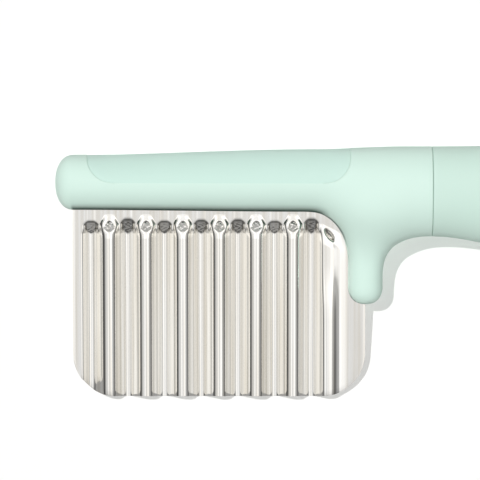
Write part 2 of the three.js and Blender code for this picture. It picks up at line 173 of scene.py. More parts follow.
def close_roll(mesh: BMesh, gap: float = 1e-3) -> None:
    """Merges the long sides of a rolled grid and any ring that is a single point, and turns it outwards.

    Args:
        mesh: The rolled grid.
        gap: How far apart merged vertices may be.
    """
    bmesh.ops.remove_doubles(mesh, verts=mesh.verts[:], dist=gap)
    bmesh.ops.dissolve_degenerate(mesh, edges=mesh.edges[:], dist=gap)
    bmesh.ops.recalc_face_normals(mesh, faces=mesh.faces[:])


def round_edges(mesh: BMesh, edges: list[BMEdge], radius: float) -> None:
    """Rounds the given edges.

    Args:
        mesh: The mesh.
        edges: The edges.
        radius: The size of the rounding.
    """
    bmesh.ops.bevel(
        mesh,
        geom=edges,
        offset=radius,
        offset_type="OFFSET",
        segments=3,
        profile=0.5,
        affect="EDGES",
        clamp_overlap=True,
        material=-1,
    )


def draw_out(mesh: BMesh, faces: list[BMFace]) -> list[BMVert]:
    """Extrudes a patch of a skin, so that it can be moved in or out.

    Args:
        mesh: The mesh.
        faces: The patch.

    Returns:
        The vertices of the loosened patch.
    """
    drawn = bmesh.ops.extrude_face_region(mesh, geom=faces)["geom"]
    bmesh.ops.delete(mesh, geom=faces, context="FACES")
    return [item for item in drawn if isinstance(item, BMVert)]


def cap_open_ends(mesh: BMesh, radius: float) -> None:
    """Closes each open end with a flat face, and rounds its rim at the seam.

    Args:
        mesh: The mesh.
        radius: The rim's radius.
    """
    rims = [edge for edge in mesh.edges if edge.is_boundary]
    bmesh.ops.holes_fill(mesh, edges=rims, sides=0)
    round_edges(mesh, [edge for edge in rims if abs(edge.verts[0].co.x) < NEAR_SEAM], radius)


# Forms, from the same sizes as the CAD


def eased(share: np.ndarray) -> np.ndarray:
    """Gives shares from 0 to 1 a gentle start and a gentle end."""
    return share * share * (3 - 2 * share)


def oval_distance(offsets: list[np.ndarray], halves: list[np.ndarray | float], power: float) -> np.ndarray:
    """Gives about the distance to a rounded body.

    Args:
        offsets: The points' offsets from the middle along each direction.
        halves: The half size along each direction.
        power: 2 for an ellipse, more for a squarer body.

    Returns:
        The distances, negative inside.
    """
    shares = [np.abs(offset) / half for offset, half in zip(offsets, halves)]
    radius = np.maximum(sum(share**power for share in shares) ** (1 / power), TINY)
    slopes = [(share / radius) ** (power - 1) / half for share, half in zip(shares, halves)]
    return (radius - 1) / np.sqrt(sum(slope**2 for slope in slopes))


def soft_least(first: np.ndarray, second: np.ndarray, blend: float) -> np.ndarray:
    """Gives the lesser of two heights, rounded where they meet, and sharper the lower that is.

    Args:
        first: The first heights.
        second: The second heights.
        blend: How far apart the heights are where the rounding starts.

    Returns:
        The lesser heights.
    """
    widening = 3
    least = np.minimum(first, second)
    width = blend * np.clip(widening * least, 0, 1) + TINY
    return least - np.maximum(width - np.abs(first - second), 0) ** 2 / (4 * width)


def rounded_foot(level: np.ndarray, foot: float) -> np.ndarray:
    """Gives a slope's height over the plain, with a rounded foot.

    Args:
        level: The slope's own level, below 0 past its foot.
        foot: The level at which the rounding starts.

    Returns:
        The heights, never below 0.
    """
    return np.where(level > foot, level, np.clip(level + foot, 0, None) ** 2 / (4 * foot))


def fallen(slopes: Slopes, past: np.ndarray, count: int = 200) -> np.ndarray:
    """Gives how far a line has fallen that goes through given slopes.

    Args:
        slopes: Pairs of a place along the line and its slope there.
        past: The places at which the fall is asked.
        count: In how many steps the slopes are added up.

    Returns:
        The falls, in millimetres.
    """
    places, steepness = np.array(slopes).T
    steps = np.linspace(places[0], places[-1], count)
    slope = np.interp(steps, places, steepness)
    total = np.concatenate([[0], np.cumsum((slope[1:] + slope[:-1]) / 2)]) * (steps[1] - steps[0])
    return np.interp(past, steps, total)


@dataclass(frozen=True)
class Station:
    """An oval section of the spine or the handle."""

    x: float
    height: float
    thickness: float
    rise: float


@dataclass(frozen=True)
class LaidPose:
    """How the tool lies on the table: grip and cutting edge touch it together."""

    tilt: float = 0.161636
    shift: Triple = (0.74994, 24.13721, 12.36908)

    def matrix(self) -> Matrix:
        """Returns the way from the tool's millimetres to the row's metres."""
        turn = Matrix.Translation(self.shift) @ Matrix.Rotation(self.tilt, 4, "X")
        return Matrix.Scale(MM, 4) @ turn


@dataclass(frozen=True)
class ToolForm:
    """The outer form that the head and the grip share."""

    tip_x: float = -113.0
    tip_round: float = 5.4
    grip_length: float = 112.0
    butt_round: float = 15.0
    butt_flat: float = 0.5
    seam_gap: float = 0.12
    power: float = 2.2
    claw_x: float = -19.9
    claw_width: float = 10.4
    claw_thickness: float = 11.2
    claw_power: float = 2.5
    claw_reach: float = 34.2
    claw_root: float = 9.0
    claw_fillet: float = 13.5
    hole_length: float = 16.0
    hole_width: float = 10.0
    hole_x: float = 95.0
    hole_rim: float = 3.2
    stations: tuple[Station, ...] = (
        Station(-113.0, 16.4, 15.6, 2.75),
        Station(-34.9, 18.9, 17.4, 3.4),
        Station(-8.0, 27.0, 22.8, 0.0),
        Station(0.0, 27.0, 22.8, 0.0),
        Station(40.0, 33.8, 23.2, -3.0),
        Station(112.0, 25.0, 20.0, -0.6),
    )

    def section(self, x: np.ndarray) -> tuple[np.ndarray, np.ndarray, np.ndarray]:
        """Gives the oval at each place along X.

        Args:
            x: The places.

        Returns:
            The rise of its middle, its half height and its half thickness.
        """
        places = np.array([station.x for station in self.stations])
        sizes = np.array([[s.rise, s.height / 2, s.thickness / 2] for s in self.stations])
        after = np.clip(np.searchsorted(places, x), 1, len(places) - 1)
        before = after - 1
        share = np.clip((x - places[before]) / (places[after] - places[before]), 0, 1)
        share = eased(share)[..., None]
        mixed = sizes[before] * (1 - share) + sizes[after] * share
        rise, half_height, half_thickness = np.moveaxis(mixed, -1, 0)
        return rise, half_height, half_thickness

    def end_rounding(self, x: np.ndarray) -> tuple[np.ndarray, np.ndarray]:
        """Gives the rounding of the tip and of the butt.

        Args:
            x: The places along X.

        Returns:
            How far each place lies past the start of a rounded end, and that end's length.
        """
        past_tip = np.maximum(0, self.tip_x + self.tip_round - x)
        past_butt = np.maximum(0, x - (self.grip_length - self.butt_round))
        return past_tip + past_butt, np.where(past_tip > 0, self.tip_round, self.butt_round)

    def oval_point(self, x: np.ndarray, angle: np.ndarray, power: np.ndarray) -> np.ndarray:
        """Gives points of the spine or handle.

        Args:
            x: The places along X.
            angle: The angle round the section, 0 at the top and positive towards +Z.
            power: How square each section is.

        Returns:
            The points, one in each row.
        """
        rise, half_height, half_thickness = self.section(x)
        past, length = self.end_rounding(x)
        shrink = np.maximum(0, 1 - (past / length) ** self.power) ** (1 / self.power)
        up, out = np.cos(angle), np.sin(angle)
        y = rise + shrink * half_height * np.sign(up) * np.abs(up) ** (2 / power)
        z = shrink * half_thickness * np.sign(out) * np.abs(out) ** (2 / power)
        return np.stack([x, y, z], axis=-1)

    def body(self, points: np.ndarray) -> np.ndarray:
        """Gives the distances to the spine and the handle.

        Args:
            points: The points, one in each row.

        Returns:
            The distances, negative inside.
        """
        x, y, z = points.T
        rise, half_height, half_thickness = self.section(x)
        past, length = self.end_rounding(x)
        return oval_distance([y - rise, z, past], [half_height, half_thickness, length], self.power)

    def head(self, points: np.ndarray) -> np.ndarray:
        """Gives the distances to the head, with the claw flowing into the shoulder.

        Args:
            points: The points, one in each row.

        Returns:
            The distances, negative inside.
        """
        x, y, z = points.T
        half = self.claw_width / 2
        past = np.maximum(0, half - self.claw_reach - y) + np.maximum(0, y + self.claw_root)
        plan = oval_distance([x - self.claw_x, past], [half, half], self.power) + half
        claw = oval_distance([plan, z], [half, self.claw_thickness / 2], self.claw_power)
        body = self.body(points)
        overlap = np.maximum(self.claw_fillet - np.abs(body - claw), 0)
        return np.minimum(body, claw) - overlap**2 / (4 * self.claw_fillet)

    def grip(self, points: np.ndarray) -> np.ndarray:
        """Gives the distances to the grip, with its hang hole and that hole's rounded rim.

        Args:
            points: The points, one in each row.

        Returns:
            The distances, negative inside.
        """
        x, y, _ = points.T
        half = self.hole_width / 2
        straight = self.hole_length / 2 - half
        middle = float(self.section(np.array([self.hole_x]))[0][0])
        hole = half - np.hypot(np.maximum(np.abs(x - self.hole_x) - straight, 0), y - middle)
        body = self.body(points)
        overlap = np.maximum(self.hole_rim - np.abs(body - hole), 0)
        return np.maximum(body, hole) + overlap**2 / (4 * self.hole_rim)


# Materials


def linear(colour: str) -> tuple[float, float, float, float]:
    """Turns an sRGB hex colour to linear light.

    Args:
        colour: Such as "#D3ECE2".

    Returns:
        Red, green, blue and an alpha of 1.
    """
    parts = [int(colour[i : i + 2], 16) / 255 for i in (1, 3, 5)]
    red, green, blue = (p / 12.92 if p <= 0.04045 else ((p + 0.055) / 1.055) ** 2.4 for p in parts)
    return red, green, blue, 1.0


def add_node(tree: NodeTree, kind: str, settings: dict[str, Any], inputs: dict[Any, Any]) -> Node:
    """Adds a node.

    Args:
        tree: The node tree.
        kind: The node's type.
        settings: The node's own settings.
        inputs: For each input, a value or the output that feeds it.

    Returns:
        The node.
    """
    node = tree.nodes.new(kind)
    for name, value in settings.items():
        setattr(node, name, value)
    for name, value in inputs.items():
        if isinstance(value, NodeSocket):
            tree.links.new(value, node.inputs[name])
        else:
            node.inputs[name].default_value = value
    return node


def new_tree(name: str) -> tuple[Material, NodeTree]:
    """Makes an empty node material.

    Args:
        name: The material's name.

    Returns:
        The material and its tree.
    """
    material = bpy.data.materials.new(name)
    material.use_nodes = True
    material.node_tree.nodes.clear()
    return material, material.node_tree


@dataclass(frozen=True)
class MouldedFinish:
    """A moulded polymer: an even colour, faintly cloudy from the melt, and the mould's fine grain. Where a
    shade colour is given, painted shade from a mesh attribute darkens it.
    """

    name: str
    colour: str
    cloud_colour: str
    roughness: Span
    cloud_mm: float
    grain_mm: float
    grain_depth_mm: float
    ior: float = 1.5
    sheen: float = 0.0
    painted_shade_colour: str = ""
    grain_span: Span = (0.3, 0.7)

    def material(self) -> Material:
        """Makes the node material.

        Returns:
            The material.
        """
        material, tree = new_tree(self.name)
        place = add_node(tree, "ShaderNodeTexCoord", {}, {}).outputs["Object"]
        cloud = add_node(
            tree,
            "ShaderNodeTexNoise",
            {},
            {"Vector": place, "Scale": 1 / (self.cloud_mm * MM), "Detail": 3.0, "Roughness": 0.5},
        ).outputs["Fac"]
        grain = add_node(
            tree,
            "ShaderNodeTexNoise",
            {},
            {"Vector": place, "Scale": 1 / (self.grain_mm * MM), "Detail": 2.0, "Roughness": 0.6},
        ).outputs["Fac"]
        colour = add_node(
            tree,
            "ShaderNodeMix",
            {"data_type": "RGBA"},
            {"Factor": cloud, "A": linear(self.colour), "B": linear(self.cloud_colour)},
        ).outputs["Result"]
        rough = add_node(
            tree,
            "ShaderNodeMapRange",
            {},
            {
                "Value": grain,
                "From Min": self.grain_span[0],
                "From Max": self.grain_span[1],
                "To Min": self.roughness[0],
                "To Max": self.roughness[1],
            },
        ).outputs["Result"]
        # Painted shade: the attribute mixes the colour towards a dark green and the roughness towards 1.
        if self.painted_shade_colour:
            shade = add_node(tree, "ShaderNodeAttribute", {"attribute_name": PAINTED_SHADE}, {}).outputs["Fac"]
            colour = add_node(
                tree,
                "ShaderNodeMix",
                {"data_type": "RGBA"},
                {"Factor": shade, "A": colour, "B": linear(self.painted_shade_colour)},
            ).outputs["Result"]
            rough = add_node(
                tree, "ShaderNodeMix", {"data_type": "FLOAT"}, {"Factor": shade, "A": rough, "B": 1.0}
            ).outputs["Result"]
        bump = add_node(
            tree,
            "ShaderNodeBump",
            {},
            {"Height": grain, "Strength": 1.0, "Distance": self.grain_depth_mm * MM},
        )
        shader = add_node(
            tree,
            "ShaderNodeBsdfPrincipled",
            {},
            {
                "Base Color": colour,
                "Roughness": rough,
                "Normal": bump.outputs["Normal"],
                "IOR": self.ior,
                "Sheen Weight": self.sheen,
                "Sheen Roughness": 0.5,
            },
        )
        add_node(tree, "ShaderNodeOutputMaterial", {}, {"Surface": shader.outputs["BSDF"]})
        return material


@dataclass(frozen=True)
class DrawnLines:
    """Lines that run along the waves: how wide and long they are, and how fine and rough their noise is."""

    width_mm: float
    length_mm: float
    detail: float
    roughness: float


@dataclass(frozen=True)
class PolishedSteelFinish:
    """Stainless steel sheet, rolled, pressed and polished, with fine polishing lines along the waves."""

    name: str = "stainless_steel_polished"
    colour: str = "#F4F3F0"
    dull_colour: str = "#E9E5DD"
    roughness: Span = (0.07, 0.17)
    # Real polishing lines are finer than a pixel, so they are drawn as wide as a pixel to show.
    lines: DrawnLines = DrawnLines(width_mm=0.25, length_mm=24.0, detail=3.0, roughness=0.6)
    streaks: DrawnLines = DrawnLines(width_mm=1.1, length_mm=70.0, detail=2.0, roughness=0.5)
    line_depth_mm: float = 0.0012
    haze_mm: float = 9.0
    streak_span: Span = (0.32, 0.68)
    haze_span: Span = (0.1, 0.42)

    def material(self) -> Material:
        """Makes the node material.

        Returns:
            The material.
        """
        material, tree = new_tree(self.name)
        place = add_node(tree, "ShaderNodeTexCoord", {}, {}).outputs["Object"]
        drawn = []
        for form in (self.lines, self.streaks):
            across, along = 1 / (form.width_mm * MM), 1 / (form.length_mm * MM)
            stretched = add_node(
                tree,
                "ShaderNodeMapping",
                {"vector_type": "POINT"},
                {"Vector": place, "Scale": (across, along, along)},
            ).outputs["Vector"]
            noise = add_node(
                tree,
                "ShaderNodeTexNoise",
                {},
                {"Vector": stretched, "Scale": 1.0, "Detail": form.detail, "Roughness": form.roughness},
            )
            drawn.append(noise.outputs["Fac"])
        lines, streaks = drawn
        haze = add_node(
            tree,
            "ShaderNodeTexNoise",
            {},
            {"Vector": place, "Scale": 1 / (self.haze_mm * MM), "Detail": 4.0, "Roughness": 0.55},
        ).outputs["Fac"]
        dull = add_node(
            tree,
            "ShaderNodeMapRange",
            {},
            {"Value": streaks, "From Min": self.streak_span[0], "From Max": self.streak_span[1]},
        ).outputs["Result"]
        colour = add_node(
            tree,
            "ShaderNodeMix",
            {"data_type": "RGBA"},
            {"Factor": dull, "A": linear(self.colour), "B": linear(self.dull_colour)},
        )
        both = add_node(tree, "ShaderNodeMath", {"operation": "MULTIPLY"}, {0: lines, 1: haze})
        rough = add_node(
            tree,
            "ShaderNodeMapRange",
            {},
            {
                "Value": both.outputs["Value"],
                "From Min": self.haze_span[0],
                "From Max": self.haze_span[1],
                "To Min": self.roughness[0],
                "To Max": self.roughness[1],
            },
        )
        bump = add_node(
            tree,
            "ShaderNodeBump",
            {},
            {"Height": lines, "Strength": 1.0, "Distance": self.line_depth_mm * MM},
        )
        shader = add_node(
            tree,
            "ShaderNodeBsdfPrincipled",
            {},
            {
                "Base Color": colour.outputs["Result"],
                "Metallic": 1.0,
                "Roughness": rough.outputs["Result"],
                "Normal": bump.outputs["Normal"],
            },
        )
        add_node(tree, "ShaderNodeOutputMaterial", {}, {"Surface": shader.outputs["BSDF"]})
        return material


# Hard ABS from a fine-blasted mould: satin, so the light rolls off the round spine in a soft band.
ABS_SHELL = MouldedFinish(
    name="abs_mint_satin",
    colour="#D3EBE0",
    cloud_colour="#D0E9DE",
    roughness=(0.46, 0.56),
    cloud_mm=14.0,
    grain_mm=0.35,
    grain_depth_mm=0.004,
    ior=1.53,
    # Painted shade: the dark green that the limb is painted towards where the blade goes into the head.
    painted_shade_colour="#0C3324",
)
# Soft thermoplastic rubber laid into the spine: the same mint, duller, with a finer skin.
TPE_PAD = MouldedFinish(
    name="thermoplastic_rubber_mint_pad",
    colour="#CAE5DB",
    cloud_colour="#C7E3D8",
    roughness=(0.5, 0.6),
    cloud_mm=12.0,
    grain_mm=0.3,
    grain_depth_mm=0.004,
    sheen=0.05,
)
# Soft thermoplastic rubber of the grip: greener and more matt than the hard head beside it.
TPE_GRIP = MouldedFinish(
    name="thermoplastic_rubber_mint_grip",
    colour="#CCE4D9",
    cloud_colour="#C8E2D6",
    roughness=(0.52, 0.64),
    cloud_mm=16.0,
    grain_mm=0.4,
    grain_depth_mm=0.006,
    sheen=0.05,
)
# Glass-filled polypropylene of the hidden frame and core: off-white, with a streaky skin.
PP_INNER = MouldedFinish(
    name="polypropylene_inner_natural",
    colour="#E4E6E1",
    cloud_colour="#D6D9D2",
    roughness=(0.45, 0.6),
    cloud_mm=6.0,
    grain_mm=0.6,
    grain_depth_mm=0.01,
    ior=1.49,
)
# Polished stainless steel: it mirrors the sky in bright and dark bands along the waves, a little
# blurred by fine lines and a haze.
STEEL = PolishedSteelFinish()


# Pieces


def finish_piece(
    mesh: BMesh,
    name: str,
    finish: MouldedFinish | PolishedSteelFinish,
    node: str,
    sharp: float = 40.0,
) -> None:
    """Lays a shaped mesh on the table as a finished piece.

    Args:
        mesh: The mesh, in the tool's millimetres.
        name: The piece's name.
        finish: What it is made of.
        node: The CAD node that it stands for.
        sharp: The angle in degrees past which an edge shows as one.
    """
    mesh.transform(LaidPose().matrix())
    data = bpy.data.meshes.new(name)
    mesh.to_mesh(data)
    mesh.free()
    data.materials.append(finish.material())
    data.polygons.foreach_set("use_smooth", [True] * len(data.polygons))
    data.set_sharp_from_angle(angle=math.radians(sharp))
    piece = bpy.data.objects.new(name, data)
    bpy.context.scene.collection.objects.link(piece)
    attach(piece, "root")
    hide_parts(node)
    log.info("%s: %d faces, stands for %s", name, len(data.polygons), node)


@dataclass(frozen=True)
class FluteForm:
    """How a ridge or a valley is pressed.

    It has its crest's radius left and right, where its upper end starts, and how that end falls.
    """

    radii: Span
    end_y: float
    falls: Slopes


@dataclass(frozen=True)
class MarkForm:
    """Shallow marks of the press: bent columns times bent rows, in radians for a millimetre."""

    columns: float
    column_bend: float
    column_turn: float
    rows: float
    row_bend: float
    row_turn: float

    def height(self, x: np.ndarray, y: np.ndarray) -> np.ndarray:
        """Gives the marks' heights.

        Args:
            x: The places along X.
            y: The places along Y.

        Returns:
            The heights, from -1 to 1.
        """
        columns = np.sin(self.columns * x + self.column_bend * np.sin(self.column_turn * y))
        rows = np.sin(self.rows * y + self.row_bend * np.sin(self.row_turn * x))
        return columns * rows


# The top and the foot of the outer side of the ridge beside the claw.
LAST_TOP: Slopes = ((-1.8, 0.03), (-0.1, 0.08), (0.3, 0.25))
LAST_FOOT: Slopes = ((3.5, 0.13), (4.9, 0.09), (5.6, 0.0))


@dataclass
class Blade:
    """The fluted steel sheet."""

    # The sheet, its outline, its ground edge and its worn rim.
    start_x: float = -107.9
    end_x: float = -19.9
    edge_y: float = -62.5
    top_y: float = 4.5
    sheet: float = 0.8
    edge_thickness: float = 0.15
    grind: float = 2.2
    corner: float = 13.0
    corner_blend: float = 2.0
    border: float = 2.8
    rim_wear: float = 0.06
    rim_width: float = 0.7
    # The flutes, ridges and valleys by turns, pressed a little unevenly.
    pitch: float = 11.03
    depth: float = 4.6
    foot: float = 0.1
    flank_degrees: Span = (30.0, 75.0)
    flank_steps: int = 2000
    flutes: int = 14
    flute_spread: float = 0.02
    flute_turn: float = 2.4
    end_spread: float = 0.1
    end_turn: float = 1.9
    end_phase: float = 1.0
    # The end of a ridge: it broadens, carries a round disc and closes.
    ridge: FluteForm = FluteForm(
        radii=(2.3, 1.95), end_y=-12.1, falls=((-1.9, 0.0), (-0.7, 0.38), (3.6, 0.38), (6.2, 0.08))
    )
    broadening: Span = (-0.7, 0.7)
    end_flat: float = 1.0
    closing_length: float = 2.6
    narrow_from: float = 1.7
    narrowing: float = 0.6
    disc_radius: float = 1.65
    disc_slope: float = 0.14
    disc_depth: float = 0.06
    disc_edge: float = 0.35
    # The end of a valley: a steep round slope.
    valley: FluteForm = FluteForm(
        radii=(2.15, 1.9), end_y=-12.7, falls=((0.0, 0.56), (3.7, 0.56), (4.6, 0.0))
    )
    valley_pinch: float = 1.0
    pinch_power: int = 4
    valley_narrowing: float = 0.2
    narrowing_length: float = 1.5
    valley_blend: float = 0.15
    # The marks that the press leaves in the discs.
    press_marks: float = 0.04
    coarse_marks: MarkForm = MarkForm(3.1, 1.7, 1.9, 3.7, 1.3, 0.83)
    fine_marks: MarkForm = MarkForm(5.3, 1.9, 3.1, 5.9, 2.1, 1.57)
    # The ridge beside the claw: it stops lower and has a slanting dent and a long outer side.
    last_drop: float = 2.9
    last_slant: float = 0.5
    last_fall: float = 0.6
    dent_middle: Span = (-0.2, 1.85)
    dent_halves: Span = (2.1, 1.2)
    dent_slope: float = 0.5
    dent_depth: float = 1.2
    dent_edge: float = 0.3
    last_places: tuple[float, ...] = (-56.0, -36.0, -24.0)
    last_sides: tuple[Slopes, ...] = (
        (*LAST_TOP, (0.9, 0.4), (1.4, 0.92), (1.8, 0.68), (2.6, 0.42), *LAST_FOOT),
        (*LAST_TOP, (0.9, 0.38), (1.4, 0.84), (1.8, 0.6), (2.6, 0.4), *LAST_FOOT),
        ((-1.8, 0.03), (0.2, 0.08), (1.0, 0.31), (3.2, 0.31), *LAST_FOOT),
    )
    # The mesh: rows at the edge, few on the plain flutes, many in their closed ends, one hidden.
    column_mm: float = 0.21
    row_mm: float = 0.2
    edge_rows: tuple[float, ...] = (0.0, 0.12, 0.6)
    plain_from: float = -46.0
    plain_gap: float = 1.0
    plain_rows: int = 9
    ends_margin: float = 2.0
    ends_reach: float = 6.6
    hidden_row: float = -3.0

    def profile(self, aside: np.ndarray, radii: Span) -> np.ndarray:
        """Gives the height of a single flute, 1 at its crest line.

        Args:
            aside: How far each point lies to the right of the crest line.
            radii: The crest's radius on its left and on its right.

        Returns:
            The heights: a round crest, straight flanks and a rounded foot.
        """
        full, quarter = self.depth / 2, self.pitch / 4
        angles = np.radians(np.linspace(*self.flank_degrees, self.flank_steps))
        distance = np.abs(aside)
        levels = []
        for radius in radii:
            drops = radius * (1 - np.cos(angles)) + np.tan(angles) * (quarter - radius * np.sin(angles))
            flank = float(np.interp(full, drops, angles))
            arc = full - radius + np.sqrt(np.maximum(radius**2 - distance**2, 0))
            straight = (quarter - distance) * math.tan(flank)
            levels.append(np.where(distance < radius * math.sin(flank), arc, straight) / full)
        return rounded_foot(np.where(aside < 0, *levels), self.foot)

    def last_crest(
        self, aside: np.ndarray, y: np.ndarray, body: np.ndarray
    ) -> tuple[np.ndarray, np.ndarray]:
        """Gives the ridge beside the claw, with a lower crest and a long outer side.

        Args:
            aside: How far each point lies to the right of the crest line.
            y: The point's height on the blade.
            body: The plain ridge's heights, 1 at the crest line.

        Returns:
            The height of the crest in millimetres, and the heights as shares of it.
        """
        full = self.depth / 2
        place = np.interp(y, self.last_places, range(len(self.last_places)))
        place = np.floor(place) + eased(place - np.floor(place))
        drop, total = 0 * aside, 0 * aside
        for number, side in enumerate(self.last_sides):
            near = np.clip(1 - np.abs(place - number), 0, 1)
            drop = drop + near * fallen(side, aside)
            total = total + near * fallen(side, np.array(self.pitch))
        height = soft_least(np.where(aside < 0, body, 1), (total - drop) / full, self.valley_blend)
        return total, height * full / total

    def ridge_height(self, aside: np.ndarray, past: np.ndarray, last: bool, y: np.ndarray) -> np.ndarray:
        """Gives the height of a ridge, which runs out gently with a round facet in its broader end.

        Args:
            aside: How far each point lies to the right of the crest line.
            past: How far it lies past the start of the end, negative before it.
            last: Whether it is the ridge beside the claw.
            y: The point's height on the blade.

        Returns:
            The heights in millimetres.
        """
        form, full = self.ridge, self.depth / 2
        start, stop = self.broadening
        broad = eased(np.clip((past - start) / (stop - start), 0, 1))
        closing = np.sqrt(1 - np.clip((past - self.disc_radius) / self.closing_length, 0, 1) ** 2)
        flat = self.end_flat * broad * closing
        narrow = np.clip((past - self.narrow_from) / self.closing_length, 0, 1) ** 2
        outside = np.maximum(np.abs(aside) * (1 + self.narrowing * narrow) - flat, 0)
        body = self.profile(np.sign(aside) * outside / (1 - flat * 4 / self.pitch), form.radii)
        if last:
            full, body = self.last_crest(aside, y, body)
            past = past + self.last_drop + self.last_slant * aside
        fall = fallen(form.falls, past) * (self.last_fall if last else 1)
        crest = np.clip(1 - fall / full, 0, 1)
        return full * body * crest - (self.last_dent(aside, past) if last else self.facet(aside, past))

    def in_disc(self, aside: np.ndarray, past: np.ndarray) -> np.ndarray:
        """Gives 1 inside the round disc in a flute's end and 0 outside, with a soft edge."""
        inside = self.disc_radius - np.hypot(aside, past - self.disc_radius)
        return np.clip(inside / self.disc_edge, 0, 1)

    def facet(self, aside: np.ndarray, past: np.ndarray) -> np.ndarray:
        """Gives the depth of the round facet in a ridge's end, which leans back towards the spine."""
        return (self.disc_depth + self.disc_slope * np.clip(past, 0, None)) * self.in_disc(aside, past)

    def last_dent(self, aside: np.ndarray, past: np.ndarray) -> np.ndarray:
        """Gives the slanting dent in the end of the ridge beside the claw.

        Args:
            aside: How far each point lies to the right of the crest line.
            past: How far it lies past the start of the end.

        Returns:
            The dent's depths in millimetres.
        """
        right, up = aside - self.dent_middle[0], past - self.dent_middle[1]
        along, across = (right - up) / math.sqrt(2), (right + up) / math.sqrt(2)
        inside = 1 - np.hypot(along / self.dent_halves[0], across / self.dent_halves[1])
        reach = math.hypot(*self.dent_halves) / math.sqrt(2)
        sunk = np.clip(self.dent_slope * (reach - up), 0, self.dent_depth)
        return sunk * np.clip(inside / self.dent_edge, 0, 1)

    def valley_height(self, aside: np.ndarray, past: np.ndarray) -> np.ndarray:
        """Gives the depth of a valley, which ends in a steep round slope.

        Args:
            aside: How far each point lies to the right of the lowest line.
            past: How far it lies past the start of the end, negative before it.

        Returns:
            The depths in millimetres.
        """
        form, full = self.valley, self.depth / 2
        share = np.clip(past / form.falls[-1][0], 0, 1)
        pinch = self.valley_pinch * share * (4 * aside / self.pitch) ** self.pinch_power
        level = 1 - fallen(form.falls, past) / full - pinch
        level = np.where(past > 0, level, 1 - past * form.falls[0][1] / full)
        narrow = 1 + self.valley_narrowing * np.clip(past / self.narrowing_length, 0, 1)
        body = self.profile(aside * narrow, form.radii)
        return full * soft_least(body, rounded_foot(level, self.foot), self.valley_blend)

    def marks(self, x: np.ndarray, y: np.ndarray) -> np.ndarray:
        """Gives the shallow uneven marks that the press leaves in the flutes' closed ends."""
        return self.press_marks * (self.coarse_marks.height(x, y) + self.fine_marks.height(x, y))

    def wave(self, x: np.ndarray, y: np.ndarray) -> np.ndarray:
        """Gives the height of the sheet's middle: valleys and ridges by turns, with round closed ends.

        Args:
            x: The places along X.
            y: The places along Y.

        Returns:
            The heights in millimetres.
        """
        height, marks = 0 * x, self.marks(x, y)
        first = self.start_x + self.border + self.pitch / 4
        for number in range(self.flutes):
            aside = x - first - number * self.pitch / 2
            pressed = 1 - self.flute_spread * (1 + math.sin(self.flute_turn * number)) / 2
            last = number == self.flutes - 1
            if number % 2:
                past = y - self.ridge.end_y
                height = height + pressed * self.ridge_height(aside, past, last, y)
            else:
                uneven = math.sin(self.end_turn * number + self.end_phase)
                past = (y - self.valley.end_y) * (1 + self.end_spread * uneven)
                height = height - pressed * self.valley_height(aside, past)
            if not last:
                height = height + marks * self.in_disc(aside, past)
        return height

    def sheet_points(self, x: np.ndarray, y: np.ndarray, offset: np.ndarray) -> np.ndarray:
        """Gives points at a signed distance from the sheet's middle, square to it.

        Args:
            x: The places along X.
            y: The places along Y.
            offset: The distances.

        Returns:
            The points, one in each row.
        """
        step = SLOPE_STEP
        slope_x = (self.wave(x + step, y) - self.wave(x - step, y)) / (2 * step)
        slope_y = (self.wave(x, y + step) - self.wave(x, y - step)) / (2 * step)
        steep = np.sqrt(1 + slope_x**2 + slope_y**2)
        moved = [x - slope_x * offset / steep, y - slope_y * offset / steep]
        return np.stack([*moved, self.wave(x, y) + offset / steep], axis=-1)

    def from_side(self, x: np.ndarray) -> np.ndarray:
        """Gives how far each place along X lies from the nearer end of the sheet."""
        return np.minimum(x - self.start_x, self.end_x - x)

    def edge_height(self, x: np.ndarray) -> np.ndarray:
        """Gives the outline's lower edge at each place along X, with its two round corners."""
        inset = np.maximum(0, self.corner - self.from_side(x))
        return self.edge_y + self.corner - np.sqrt(np.maximum(0, self.corner**2 - inset**2))

    def on_sheet(self, x: np.ndarray, y: np.ndarray, front: bool) -> np.ndarray:
        """Gives points of the front or the back, whose lower edge is cut upright as the tool lies.

        Args:
            x: The columns' places.
            y: The rows' places, as if the lower corners were square.
            front: Whether the points lie on the front.

        Returns:
            The points, one in each row.
        """
        low, high = self.edge_height(x), self.edge_y + self.corner + self.corner_blend
        share = np.clip((y - self.edge_y) / (high - self.edge_y), 0, 1)
        ground = np.clip((y - self.edge_y) / self.grind, 0, 1)
        thickness = self.edge_thickness + (self.sheet - self.edge_thickness) * ground
        height = np.where(y < high, low + (high - low) * share, y)
        beside = self.from_side(x)
        inside = np.minimum(beside, np.where(beside < self.corner, height - low, np.inf))
        worn = self.rim_wear * np.clip(1 - inside / self.rim_width, 0, 1)
        offset = self.sheet / 2 - (worn if front else thickness)
        upright = (self.wave(x, height) + offset) * math.tan(LaidPose().tilt) * (1 - ground)
        return self.sheet_points(x, height + upright, offset)

